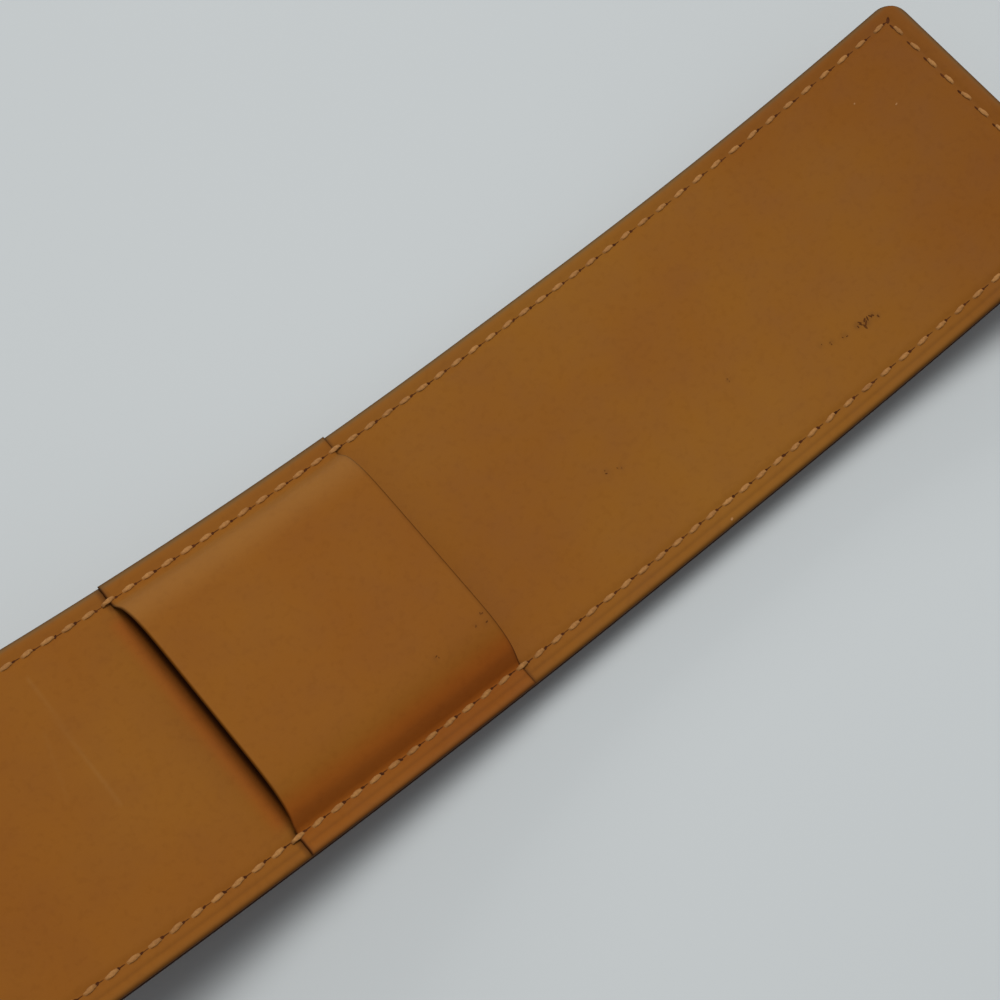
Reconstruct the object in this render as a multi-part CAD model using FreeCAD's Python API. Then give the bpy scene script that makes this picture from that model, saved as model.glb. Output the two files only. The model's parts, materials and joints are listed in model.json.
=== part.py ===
"""Slim leather fountain pen case: a sewn two-ply sleeve with a keeper band across its front.

The sleeve is bowed along its length, so its mouth stands clear of the table.  A flap hangs open
from the back of the mouth: a spine strip, the flap itself and a tongue that tucks under the band.
Every piece of the flap is drawn as it lies when the case is shut, and is then turned open.

X runs along the case to its sewn end, Y across it and Z up from the table.
Places on the sleeve are given by t, the way along it from the mouth, y, the way across it,
and w, the height over the face where the front and back panels meet.
"""
import FreeCAD
import Part

import math
import os

# Sleeve
case_width = 40.0
mouth_to_band = 46.0
band_length = 33.3
band_to_end = 96.2
end_corner_radius = 2.8
bow_radius = 250.0
rest_middle = 108.0
rest_length = 16.0
front_ply = 1.0
back_ply = 1.0

# Pocket, pressed into the back panel
flange_width = 4.0
pocket_wall_run = 3.0
pocket_depth = 4.6
mouth_depth = 7.5
mouth_flare = 80.0
pocket_end_margin = 10.0
pocket_end_run = 15.0

# Keeper band
band_ply = 0.9
band_rise = 3.8
band_foot_width = 3.6
band_slope_run = 5.0

# Flap, its lining and its tongue
flap_ply = 1.0
lining_ply = 0.5
flap_gap = 0.6
tuck_depth = 5.5
entry_clearance = 1.6
fold_gap = 0.8
lining_setback = 1.4
tongue_corner_radius = 9.0

# Sewing
seam_margin = 2.6
flap_seam_margin = 2.2
stitches_on_band = 12
stitch_length = 1.5
stitch_width = 0.6
stitch_height = 0.3
stitch_slant = 5.0
thread_lift = 0.04
fold_seam_margin = 3.0

# Facets along the bow and round a corner
facet_length = 6.0
least_facet = 0.05
corner_facets = 5

# Sizes that follow
case_length = mouth_to_band + band_length + band_to_end
half_width = case_width / 2
pocket_half = half_width - flange_width
floor_half = pocket_half - pocket_wall_run
band_end = mouth_to_band + band_length
rest_start = rest_middle - rest_length / 2
rest_stop = rest_middle + rest_length / 2
parting_height = back_ply + pocket_depth
pocket_end = case_length - pocket_end_margin
seam_side = half_width - seam_margin
stitch_pitch = band_length / stitches_on_band
lining_bottom = front_ply + flap_gap
lining_top = lining_bottom + lining_ply
flap_top = lining_top + flap_ply
flap_middle = lining_top + flap_ply / 2
flap_half = floor_half
tip_distance = mouth_to_band + tuck_depth
flap_middle_distance = (tip_distance - fold_gap) / 2
ACROSS = FreeCAD.Vector(0, 1, 0)


# Places on the bowed sleeve
def slope(t):
    """Angle of the sleeve over the table, falling to the rest and rising after it."""
    if t < rest_start:
        return (t - rest_start) / bow_radius
    if t > rest_stop:
        return (t - rest_stop) / bow_radius
    return 0.0


def place(t, y, w):
    """The point at t along the sleeve, y across it and w over the parting face."""
    angle = slope(t)
    straight = min(max(t, rest_start), rest_stop) - rest_middle
    x = straight + bow_radius * math.sin(angle)
    z = parting_height + bow_radius * (1 - math.cos(angle))
    return FreeCAD.Vector(x - w * math.sin(angle), y, z + w * math.cos(angle))


def axes_at(t):
    """Directions along, across and out of the sleeve at t."""
    angle = slope(t)
    along = FreeCAD.Vector(math.cos(angle), 0, math.sin(angle))
    out = FreeCAD.Vector(-math.sin(angle), 0, math.cos(angle))
    return along, ACROSS, out


def stations(start, stop, marks=()):
    """Distances from start to stop, no further apart than a facet, with every mark among them."""
    inner = sorted(m for m in marks if start + least_facet < m < stop - least_facet)
    found = [start]
    for mark in inner + [stop]:
        low = found[-1]
        if mark - low > least_facet:
            count = math.ceil((mark - low) / facet_length)
            found += [low + (mark - low) * k / count for k in range(1, count + 1)]
    return found


def corner_marks(stop, radius):
    """Stations round a corner of this radius that ends at stop."""
    turns = [math.pi / 2 * k / corner_facets for k in range(corner_facets)]
    return [stop - radius + radius * math.sin(turn) for turn in turns]


def rounded_half(t, half, stop, radius):
    """Half of the width at t of a strip whose end at stop has rounded corners."""
    past = max(0.0, t - (stop - radius))
    return half - radius + math.sqrt(max(0.0, radius ** 2 - past ** 2))


def sheet(distances, section):
    """A solid through the sections at these distances, each a ring of (y, w) places."""
    rings = []
    for t in distances:
        ring = [place(t, y, w) for y, w in section(t)]
        rings.append(Part.makePolygon(ring + ring[:1]))
    return Part.makeLoft(rings, True, True)


def mirrored(side):
    """A ring of (y, w) places from its far half, given in order from its top to its bottom."""
    return side + [(-y, w) for y, w in reversed(side)]


body_marks = [mouth_to_band, band_end, mouth_flare, rest_start, rest_stop]
body_marks += [pocket_end - pocket_end_run, pocket_end]
body_marks += corner_marks(case_length, end_corner_radius)
body_stations = stations(0.0, case_length, body_marks)


# Sleeve panels and band
def depth_at(t):
    """Depth of the pocket, flared at the mouth and run out before the sewn end."""
    flare = max(0.0, 1 - t / mouth_flare)
    deep = pocket_depth + (mouth_depth - pocket_depth) * flare
    left = min(1.0, max(0.0, (pocket_end - t) / pocket_end_run))
    return deep * left


def end_half(t):
    return rounded_half(t, half_width, case_length, end_corner_radius)


def front_section(t):
    edge = end_half(t)
    return mirrored([(edge, front_ply), (edge, 0.0)])


def back_section(t):
    edge = end_half(t)
    depth = depth_at(t)
    spread = back_ply * math.tan(math.atan2(depth, pocket_wall_run) / 2)
    inside = [(floor_half, -depth), (pocket_half, 0.0), (edge, 0.0)]
    under = -depth - back_ply
    outside = [(edge, -back_ply), (pocket_half + spread, -back_ply), (floor_half + spread, under)]
    return mirrored(inside + outside)


def band_section(t):
    foot_end = half_width - band_foot_width
    top_half = foot_end - band_slope_run
    spread = band_ply * math.tan(math.atan2(band_rise, band_slope_run) / 2)
    under_top = front_ply + band_rise
    inside = [(top_half, under_top), (foot_end, front_ply), (half_width, front_ply)]
    foot_top = front_ply + band_ply
    over_top = under_top + band_ply
    outside = [(half_width, foot_top), (foot_end + spread, foot_top), (top_half + spread, over_top)]
    return mirrored(inside + outside)


def front_top(t):
    """Height of the sleeve's upper face along the side seams."""
    on_band = mouth_to_band <= t <= band_end
    return front_ply + (band_ply if on_band else 0.0)


# Sewing
def stitch(t, y, face, outward, along_seam=True):
    """One stitch lying on the face at height w, on its upper side or, with outward -1, its lower."""
    along, across, out = axes_at(t)
    turn = stitch_slant if along_seam else 90.0 - stitch_slant
    bar = Part.makeBox(stitch_length, stitch_width, stitch_height)
    bar.translate(FreeCAD.Vector(-stitch_length / 2, -stitch_width / 2, thread_lift))
    bar.rotate(FreeCAD.Vector(), FreeCAD.Vector(0, 0, 1), turn)
    if outward < 0:
        bar.rotate(FreeCAD.Vector(), FreeCAD.Vector(1, 0, 0), 180.0)
    turned = FreeCAD.Rotation(along, across, out, "ZXY")
    return bar.transformGeometry(FreeCAD.Placement(place(t, y, face), turned).toMatrix())


def pitches(start, stop):
    """Stitch middles between start and stop, evenly spaced near the stitch pitch."""
    count = max(1, round((stop - start) / stitch_pitch))
    return [start + (stop - start) * (k + 0.5) / count for k in range(count)]


def side_seam(y):
    """Stitches down one side, in step with the band so that one lies over each of its edges."""
    before = math.floor((mouth_to_band - seam_margin) / stitch_pitch)
    last = case_length - seam_margin - stitch_length
    after = math.floor((last - mouth_to_band) / stitch_pitch)
    stitches = []
    for step in range(-before, after + 1):
        t = mouth_to_band + step * stitch_pitch
        ends = (t - stitch_length / 2, t + stitch_length / 2)
        stitches.append(stitch(t, y, max(front_top(end) for end in ends), 1))
        stitches.append(stitch(t, y, -back_ply, -1))
    return Part.makeCompound(stitches)


def end_seam():
    t = case_length - seam_margin
    stitches = []
    for y in pitches(-seam_side, seam_side):
        stitches.append(stitch(t, y, front_ply, 1, along_seam=False))
        stitches.append(stitch(t, y, -back_ply, -1, along_seam=False))
    return Part.makeCompound(stitches)


def flap_seam(start, stop, across_at=None):
    """Stitches down both sides of a stretch of the flap, and across it near the tongue's tip."""
    side = flap_half - flap_seam_margin
    spots = [(t, y, True) for t in pitches(start, stop) for y in (-side, side)]
    if across_at is not None:
        reach = flap_half - tongue_corner_radius
        spots += [(across_at, y, False) for y in pitches(-reach, reach)]
    stitches = []
    for t, y, along_seam in spots:
        stitches.append(stitch(t, y, flap_top, 1, along_seam))
        stitches.append(stitch(t, y, lining_bottom, -1, along_seam))
    return Part.makeCompound(stitches)


# Flap, shut
def flap_layer(start, stop, bottom, top):
    """A layer of the flap between two heights, with the tongue's rounded corners at its tip."""
    def section(t):
        half = rounded_half(t, flap_half, tip_distance, tongue_corner_radius)
        return mirrored([(half, top), (half, bottom)])

    marks = [m for m in body_stations if m < tip_distance]
    marks += corner_marks(tip_distance, tongue_corner_radius)
    return sheet(stations(start, stop, marks), section)


def spine_strip():
    """The strip that stands across the open mouth when the case is shut."""
    along, across, out = axes_at(-fold_gap)
    length = (flap_fold - spine_fold).Length - fold_gap
    bar = Part.makeBox(flap_ply, 2 * flap_half, length)
    bar.translate(FreeCAD.Vector(-flap_ply / 2, -flap_half, 0))
    turned = FreeCAD.Rotation(along, across, out, "ZXY")
    return bar.transformGeometry(FreeCAD.Placement(spine_fold, turned).toMatrix())


spine_fold = place(-fold_gap, 0.0, -mouth_depth - back_ply / 2)
flap_fold = place(-fold_gap, 0.0, flap_middle)
tongue_fold = place(flap_middle_distance, 0.0, flap_middle)
tongue_tip = place(tip_distance, 0.0, flap_middle)

sleeve = {
    "front_panel": sheet(body_stations, front_section),
    "back_panel": sheet(body_stations, back_section),
    "keeper_band": sheet(stations(mouth_to_band, band_end, body_stations), band_section),
    "far_seam_thread": side_seam(seam_side),
    "near_seam_thread": side_seam(-seam_side),
    "end_seam_thread": end_seam(),
}
spine = {"spine_strip": spine_strip()}
flap_stop = flap_middle_distance - fold_gap
lining_stop = flap_middle_distance - lining_setback
tongue_lining_start = flap_middle_distance + lining_setback
flap = {
    "flap_panel": flap_layer(-fold_gap, flap_stop, lining_top, flap_top),
    "flap_lining": flap_layer(lining_setback, lining_stop, lining_bottom, lining_top),
    "flap_thread": flap_seam(fold_seam_margin, flap_middle_distance - fold_seam_margin),
}
tongue = {
    "tongue_panel": flap_layer(flap_middle_distance, tip_distance, lining_top, flap_top),
    "tongue_lining": flap_layer(tongue_lining_start, tip_distance, lining_bottom, lining_top),
    "tongue_thread": flap_seam(
        flap_middle_distance + fold_seam_margin,
        tip_distance - tongue_corner_radius,
        tip_distance - flap_seam_margin,
    ),
}


# Opening the flap
def turn(pieces, about, degrees):
    for shape in pieces.values():
        shape.rotate(about, ACROSS, degrees)


def turned_point(point, about, degrees):
    """A point turned about an axis across the case, the same way as a piece."""
    vertex = Part.Vertex(point)
    vertex.rotate(about, ACROSS, degrees)
    return vertex.Point


def heading(start, stop):
    """Degrees over the level at which stop lies from start, on the side of +X."""
    step = stop - start
    return math.degrees(math.atan2(step.z, step.x))


# The flap and tongue are equal links, so the tip slides straight into the band as they flatten.
link = (tongue_fold - flap_fold).Length
shut_reach = (tongue_tip - flap_fold).Length
entry_reach = shut_reach - tuck_depth - entry_clearance
shut_sag = math.degrees(math.acos(shut_reach / 2 / link))
tuck_angle = math.degrees(math.acos(entry_reach / 2 / link)) + shut_sag
turn(tongue, tongue_fold, 2 * tuck_angle)
tongue_fold = turned_point(tongue_fold, flap_fold, -tuck_angle)
turn(flap, flap_fold, -tuck_angle)
turn(tongue, flap_fold, -tuck_angle)

# Then the spine lets the flap down behind the mouth, until its bend stands on the table.
arm = (tongue_fold - spine_fold).Length
drop = math.degrees(math.asin((spine_fold.z - flap_ply / 2) / arm))
fold_angle = 180.0 - heading(spine_fold, tongue_fold) + drop
flap_fold = turned_point(flap_fold, spine_fold, -fold_angle)
tongue_fold = turned_point(tongue_fold, spine_fold, -fold_angle)
for group in (spine, flap, tongue):
    turn(group, spine_fold, -fold_angle)

nodes = {**sleeve, **spine, **flap, **tongue}
os.makedirs("parts", exist_ok=True)
for name, shape in nodes.items():
    shape.exportStep(f"parts/{name}.step")

# Where the folds are when the case lies open, and how far each one turns to shut it
for name, point in (("spine_fold", spine_fold), ("flap_fold", flap_fold), ("tongue_fold", tongue_fold)):
    print(name, [round(v, 4) for v in point])
print("spine turns", round(fold_angle, 4), "flap turns", round(tuck_angle, 4))
for name, shape in nodes.items():
    box = shape.BoundBox
    low = [round(v, 2) for v in (box.XMin, box.YMin, box.ZMin)]
    high = [round(v, 2) for v in (box.XMax, box.YMax, box.ZMax)]
    print(name, len(shape.Solids), round(shape.Volume, 2), shape.isValid(), low, high)
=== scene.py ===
import json
import math

import bpy
import numpy as np
from mathutils import Matrix, Vector


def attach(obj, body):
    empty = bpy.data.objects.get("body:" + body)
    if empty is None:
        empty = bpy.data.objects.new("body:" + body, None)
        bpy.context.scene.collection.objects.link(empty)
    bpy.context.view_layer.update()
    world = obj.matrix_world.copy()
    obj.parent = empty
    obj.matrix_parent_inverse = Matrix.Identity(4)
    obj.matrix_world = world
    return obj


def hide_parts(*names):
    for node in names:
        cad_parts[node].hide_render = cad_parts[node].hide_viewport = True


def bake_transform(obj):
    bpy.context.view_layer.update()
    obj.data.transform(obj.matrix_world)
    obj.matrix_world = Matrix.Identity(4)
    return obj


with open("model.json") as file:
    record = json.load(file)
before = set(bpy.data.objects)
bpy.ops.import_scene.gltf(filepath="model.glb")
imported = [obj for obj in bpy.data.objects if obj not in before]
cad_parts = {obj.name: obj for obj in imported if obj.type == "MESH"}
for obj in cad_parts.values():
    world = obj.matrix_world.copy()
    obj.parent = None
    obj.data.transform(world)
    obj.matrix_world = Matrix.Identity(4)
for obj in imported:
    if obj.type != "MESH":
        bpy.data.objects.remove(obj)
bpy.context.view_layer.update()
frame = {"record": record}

MM = 0.001

# Sizes in millimetres, the same as the solids have
HALF_WIDTH = 20.0
MOUTH_TO_BAND = 46.0
BAND_LENGTH = 33.3
BAND_TO_END = 96.2
CORNER_RADIUS = 2.8
BOW_RADIUS = 250.0
REST_START = 100.0
REST_STOP = 116.0
PLY = 1.0
POCKET_HALF = 16.0
FLOOR_HALF = 13.0
POCKET_DEPTH = 4.6
MOUTH_DEPTH = 7.5
MOUTH_FLARE = 80.0
POCKET_END_MARGIN = 10.0
POCKET_END_RUN = 15.0
BAND_PLY = 0.9
BAND_RISE = 3.8
BAND_FOOT = 3.6
LINING_PLY = 0.5
LINING_SETBACK = 1.4
FLAP_GAP = 0.6
FOLD_GAP = 0.8
TONGUE_CORNER = 9.0
SEAM_MARGIN = 2.6
FLAP_SEAM_MARGIN = 2.2
FOLD_SEAM_MARGIN = 3.0
STITCHES_ON_BAND = 12
STITCH_LENGTH = 1.5
STITCH_SLANT = math.radians(5.0)

# Rows of stitches where they differ from the solids: wider apart at the sewn end, further out on the far side
END_PITCH = 3.18
WIDER_FROM = 112.0
WIDER_RUN = 24.0
FAR_SEAM_MARGIN = 2.2

# Shape of the leather: rounded edges, pressed seams, the pocket's wall and the band's arch
EDGE_RUN = 0.75
EDGE_POWER = 2.6
CUT_SHARE = 0.05
CREASE_INSET = 1.35
CREASE_DEPTH = 0.10
CREASE_WIDTH = 0.2
FAR_CREASE = 0.25
TRENCH_DEPTH = 0.16
TRENCH_WIDTH = 0.55
TRENCH_OVERRUN = 0.3
WALL_OUTSET = 0.4
WALL_EXTRA_RUN = 0.6
ARCH_HALF = 17.0
ARCH_POWER = 7
ARCH_SOFTNESS = 0.2
BAND_SKIVED = 0.45
SKIVE_REACH = 1.2
SKIVE_RUN = 1.6
BAND_END_RUN = 0.3

# How fine the meshes are
MESH_STEP = 0.4
SHEET_COLUMNS = 121
FLAP_COLUMNS = 61
EDGE_POINTS = 7
END_ROWS = 6

# Sizes that follow
BAND_END = MOUTH_TO_BAND + BAND_LENGTH
BAND_MIDDLE = (MOUTH_TO_BAND + BAND_END) / 2
LENGTH = BAND_END + BAND_TO_END
REST_MIDDLE = (REST_START + REST_STOP) / 2
PARTING = PLY + POCKET_DEPTH
POCKET_END = LENGTH - POCKET_END_MARGIN
SEAM_Y = HALF_WIDTH - SEAM_MARGIN
FAR_SEAM_Y = HALF_WIDTH - FAR_SEAM_MARGIN
END_SEAM_T = LENGTH - SEAM_MARGIN
CREASE_Y = HALF_WIDTH - CREASE_INSET
END_CREASE_T = LENGTH - CREASE_INSET
FOOT_Y = HALF_WIDTH - BAND_FOOT
PITCH = BAND_LENGTH / STITCHES_ON_BAND

# Small differences between stitches and between flecks are drawn from here
SEED = 7
chance = np.random.default_rng(SEED)


# Places on the bowed sleeve
def slope(t):
    """Angle between the sleeve and the table at t along it."""
    t = np.asarray(t, float)
    return (np.minimum(t - REST_START, 0) + np.maximum(t - REST_STOP, 0)) / BOW_RADIUS


def place(t, y, w):
    """Points at t along the sleeve from its mouth, y across it and w over the parting face."""
    angle = slope(t)
    level = np.clip(t, REST_START, REST_STOP) - REST_MIDDLE
    x = level + (BOW_RADIUS - w) * np.sin(angle)
    z = PARTING + w + (BOW_RADIUS - w) * (1 - np.cos(angle))
    return np.stack(np.broadcast_arrays(x, y, z), -1)


# Smooth steps and bells
def smooth(value):
    value = np.clip(value, 0.0, 1.0)
    return value * value * (3 - 2 * value)


def rising(value, start, run):
    """0 up to start and 1 from a run later on."""
    return smooth((value - start) / run)


def falling(value, stop, run):
    """1 until a run before stop and 0 from stop on."""
    return smooth((stop - value) / run)


def dip(distance, width):
    """1 at no distance, falling away to both sides within about twice the width."""
    return np.exp(-(distance / width) ** 2)


def between(first, second, share):
    return first + (second - first) * share


# Meshes
def make_object(name, points, faces, material, attributes=None):
    mesh = bpy.data.meshes.new(name)
    mesh.from_pydata((np.asarray(points) * MM).tolist(), [], faces)
    mesh.validate()
    for key, values in (attributes or {}).items():
        layer = mesh.attributes.new(key, "FLOAT", "POINT")
        layer.data.foreach_set("value", np.asarray(values, np.float32).ravel())
    mesh.polygons.foreach_set("use_smooth", [True] * len(mesh.polygons))
    mesh.materials.append(material)
    mesh.update()
    obj = bpy.data.objects.new(name, mesh)
    bpy.context.scene.collection.objects.link(obj)
    return obj


def joined(shapes):
    """Points and faces of many shapes, each given by its own points and faces, as one."""
    points, faces, base = [], [], 0
    for shape_points, shape_faces in shapes:
        points.append(shape_points)
        faces += [tuple(base + corner for corner in face) for face in shape_faces]
        base += len(shape_points)
    return np.concatenate(points), faces


def side_faces(rows, ring):
    """Quads over rows of rings."""
    faces = []
    for i in range(rows - 1):
        for j in range(ring):
            k = (j + 1) % ring
            faces.append((i * ring + j, i * ring + k, (i + 1) * ring + k, (i + 1) * ring + j))
    return faces


def cap_faces(first, last, ring):
    """Quads over two end rows, which are given by their numbers."""
    faces = []
    for row, flip in ((first, True), (last, False)):
        start = row * ring
        for j in range(ring // 2 - 1):
            quad = (start + j, start + j + 1, start + ring - 2 - j, start + ring - 1 - j)
            faces.append(quad[::-1] if flip else quad)
    return faces


def tube_faces(rows, ring):
    return side_faces(rows, ring) + cap_faces(0, rows - 1, ring)


def ring_ways(count, half):
    """Shares of the half width over a ply's upper face and back under it, and which face each is on."""
    inner = np.linspace(-(half - EDGE_RUN), half - EDGE_RUN, count)
    edge = half - EDGE_RUN + EDGE_RUN * np.sin(np.linspace(0, math.pi / 2, EDGE_POINTS)[1:])
    line = np.concatenate([-edge[::-1], inner, edge]) / half
    side = np.concatenate([np.ones(len(line)), -np.ones(len(line))])
    return np.concatenate([line, line[::-1]]), side


def ply_ring(half, thickness, across, side):
    """Sides y and heights over the middle of a ply with rounded edges, for one row."""
    y = across * half
    inward = np.maximum(half - np.abs(y), 0.0)
    bite = np.clip(1 - inward / EDGE_RUN, 0.0, 1.0)
    return y, side * thickness / 2 * np.sqrt(np.maximum(1 - bite ** EDGE_POWER, 0.0))


def end_round(distance, run):
    """Share of a ply's thickness left at this distance from its cut end."""
    bite = np.clip(1 - distance / run, 0.0, 1.0)
    return np.sqrt(np.maximum(1 - bite ** EDGE_POWER, CUT_SHARE ** 2))


def along_points(start, stop, step, run):
    """Even steps along a ply, with closer ones in its two rounded ends."""
    steps = np.sin(np.linspace(0, math.pi / 2, END_ROWS)[1:-1]) * run
    inner = np.linspace(start + run, stop - run, max(2, round((stop - start - 2 * run) / step)))
    return np.concatenate([[start], start + run - steps[::-1], inner, stop - run + steps, [stop]])


# Where the stitches are
def side_stitches():
    """Ways along of the stitches: an even pitch from the mouth, then a wider one up to the sewn end."""
    before = math.floor((MOUTH_TO_BAND - SEAM_MARGIN) / PITCH)
    steps = []
    t = MOUTH_TO_BAND - before * PITCH
    while t < END_SEAM_T - STITCH_LENGTH:
        steps.append(t)
        t += between(PITCH, END_PITCH, rising(t, WIDER_FROM, WIDER_RUN))
    return np.array(steps)


def even_steps(start, stop, pitch=PITCH):
    """Middles of equal steps, as close to the pitch as fits."""
    count = max(1, round((stop - start) / pitch))
    return start + (stop - start) * (np.arange(count) + 0.5) / count


SIDE_STITCHES = side_stitches()
END_STITCHES = even_steps(-SEAM_Y, SEAM_Y, END_PITCH)


def seam_line(y):
    """Distance from the middle line to the seam on the side that y is on."""
    return np.where(np.asarray(y) > 0, FAR_SEAM_Y, SEAM_Y)


def seam_relief(t, y):
    """How far the seams and the creases beside them press the leather in, and where each one is."""
    off = np.abs(y)
    side_crease = dip(off - CREASE_Y, CREASE_WIDTH) * (t < END_CREASE_T)
    end_crease = dip(t - END_CREASE_T, CREASE_WIDTH) * (off < CREASE_Y)
    crease = np.maximum(side_crease, end_crease) * np.where(np.asarray(y) > 0, FAR_CREASE, 1.0)
    side_trench = dip(off - seam_line(y), TRENCH_WIDTH) * (t < END_SEAM_T + TRENCH_OVERRUN)
    end_trench = dip(t - END_SEAM_T, TRENCH_WIDTH) * (off < seam_line(y) + TRENCH_OVERRUN)
    trench = np.maximum(side_trench, end_trench)
    return CREASE_DEPTH * crease + TRENCH_DEPTH * trench, crease, trench


# Dots of old ink on the front and on the band: way along, way across, radius and strength
INK_DOTS = [
    (135.6, -9.5, 0.45, 0.35),
    (137.0, -10.1, 0.40, 0.45),
    (138.9, -10.5, 0.40, 0.5),
    (140.9, -10.6, 0.40, 0.8),
    (142.2, -11.0, 0.50, 0.9),
    (143.3, -10.7, 0.35, 0.8),
    (143.9, -11.3, 0.32, 0.7),
    (103.6, -5.1, 0.42, 0.45),
    (105.4, -5.9, 0.32, 0.45),
    (123.5, -5.5, 0.32, 0.55),
]
BAND_DOTS = [
    (78.4, -10.4, 0.40, 0.45),
    (78.3, -11.5, 0.35, 0.5),
    (77.0, -11.1, 0.32, 0.45),
    (70.5, -11.3, 0.34, 0.6),
]
INK_STRENGTH = 0.35
BAND_INK_STRENGTH = 0.3

# Pale specks: way along, way across, length and width
PALE_SPECKS = [(161.7, 12.1, 0.30, 0.20), (165.6, 8.4, 0.42, 0.20), (111.4, -19.4, 0.45, 0.3)]
PALE_TURN = 0.4

# Scratches: first end, second end, width and strength
SCRATCHES = [((33.2, 15.2), (32.7, -2.8), 0.20, 0.05), ((31.0, 9.0), (28.5, 1.0), 0.20, 0.02)]


def spots(t, y, places):
    """How strongly each point lies in one of the dots."""
    found = np.zeros(np.broadcast(t, y).shape)
    for at_t, at_y, radius, strength in places:
        found = np.maximum(found, strength * dip(np.hypot(t - at_t, y - at_y), radius))
    return found


def scratch_lines(t, y):
    """How strongly each point lies on one of the scratches."""
    found = np.zeros(np.broadcast(t, y).shape)
    for (t0, y0), (t1, y1), width, strength in SCRATCHES:
        run = np.hypot(t1 - t0, y1 - y0)
        share = np.clip(((t - t0) * (t1 - t0) + (y - y0) * (y1 - y0)) / run ** 2, 0, 1)
        off = np.hypot(t - t0 - share * (t1 - t0), y - y0 - share * (y1 - y0))
        found = np.maximum(found, strength * dip(off, width))
    return found


# Parts of a material
LOW_NOISE = 0.3
MIDDLE_NOISE = 0.5
HIGH_NOISE = 0.7
WHITE = (1.0, 1.0, 1.0)


def nodes_of(name):
    material = bpy.data.materials.new(name)
    material.use_nodes = True
    tree = material.node_tree
    return material, tree, tree.nodes["Principled BSDF"]


def noise(tree, scale, detail, stretch=(1, 1, 1)):
    coordinates = tree.nodes.new("ShaderNodeTexCoord")
    mapping = tree.nodes.new("ShaderNodeMapping")
    mapping.inputs["Scale"].default_value = stretch
    texture = tree.nodes.new("ShaderNodeTexNoise")
    texture.inputs["Scale"].default_value = scale
    texture.inputs["Detail"].default_value = detail
    tree.links.new(coordinates.outputs["Object"], mapping.inputs["Vector"])
    tree.links.new(mapping.outputs["Vector"], texture.inputs["Vector"])
    return texture.outputs["Fac"]


def ramp(tree, value, stops):
    """Colours by value, from stops of (value, colour)."""
    node = tree.nodes.new("ShaderNodeValToRGB")
    while len(node.color_ramp.elements) < len(stops):
        node.color_ramp.elements.new(0.5)
    for element, (position, colour) in zip(node.color_ramp.elements, stops):
        element.position = position
        element.color = (*colour, 1.0)
    tree.links.new(value, node.inputs["Fac"])
    return node.outputs["Color"]


def noise_ramp(tree, value, dark, light):
    """Two colours that follow a noise."""
    return ramp(tree, value, [(LOW_NOISE, dark), (HIGH_NOISE, light)])


def mix(tree, share, first, second, blend="MIX"):
    """Colour first turned to second by the share, each an output or a fixed colour."""
    node = tree.nodes.new("ShaderNodeMix")
    node.data_type = "RGBA"
    node.blend_type = blend
    # The node has sockets of one name for each type of data, so its colours are told apart by number
    sockets = (node.inputs[0], node.inputs[6], node.inputs[7])
    for socket, value in zip(sockets, (share, first, second)):
        if isinstance(value, bpy.types.NodeSocket):
            tree.links.new(value, socket)
        elif isinstance(value, float):
            socket.default_value = value
        else:
            socket.default_value = (*value, 1.0)
    return node.outputs[2]


def tinted(tree, share, colour, tint):
    """Colour multiplied by the tint, as far as the share says."""
    return mix(tree, share, colour, mix(tree, 1.0, colour, tint, "MULTIPLY"))


def attribute(tree, key):
    node = tree.nodes.new("ShaderNodeAttribute")
    node.attribute_name = key
    return node.outputs["Fac"]


def map_range(tree, value, low, high, to_low, to_high):
    node = tree.nodes.new("ShaderNodeMapRange")
    for socket, number in zip(("From Min", "From Max", "To Min", "To Max"), (low, high, to_low, to_high)):
        node.inputs[socket].default_value = number
    tree.links.new(value, node.inputs["Value"])
    return node.outputs["Result"]


def roughen(tree, shader, value, smoothest, roughest):
    """Roughness that follows a noise."""
    roughness = map_range(tree, value, LOW_NOISE, HIGH_NOISE, smoothest, roughest)
    tree.links.new(roughness, shader.inputs["Roughness"])


def along_case(tree, start, stop, share):
    """0 up to start and the share from stop on, both in metres along X."""
    coordinates = tree.nodes.new("ShaderNodeTexCoord")
    split = tree.nodes.new("ShaderNodeSeparateXYZ")
    tree.links.new(coordinates.outputs["Object"], split.inputs["Vector"])
    return map_range(tree, split.outputs["X"], start, stop, 0.0, share)


def bump(tree, shader, heights):
    """Chained bumps, each of (height output, strength, distance in metres)."""
    normal = None
    for height, strength, distance in heights:
        node = tree.nodes.new("ShaderNodeBump")
        node.inputs["Strength"].default_value = strength
        node.inputs["Distance"].default_value = distance
        tree.links.new(height, node.inputs["Height"])
        if normal is not None:
            tree.links.new(normal, node.inputs["Normal"])
        normal = node.outputs["Normal"]
    tree.links.new(normal, shader.inputs["Normal"])


# Leather: what is painted on it by each attribute, and tints that its colour is multiplied by, several of
# them painted light and shade
BORDER_GREY_COLOUR = (0.115, 0.095, 0.046)
WARM_TINT = (1.17, 0.89, 0.82)
SHADE_COLOUR = (0.024, 0.006, 0.002)
PALE_COLOUR = (0.47, 0.30, 0.115)
MARK_COLOUR = (0.016, 0.010, 0.010)
MOTTLE_STOPS = [(0.30, (0.90, 0.86, 0.80)), (0.52, WHITE), (0.75, (1.05, 1.06, 1.05))]
MOTTLE_SHARE = 0.4
PORE_STOPS = [(0.32, (0.84, 0.80, 0.74)), (0.48, WHITE)]
PORE_SHARE = 0.30
LIT_MIDDLE_TINT = (0.99, 1.10, 1.06)
SHADED_END_TINT = (0.83, 0.72, 0.68)


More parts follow.
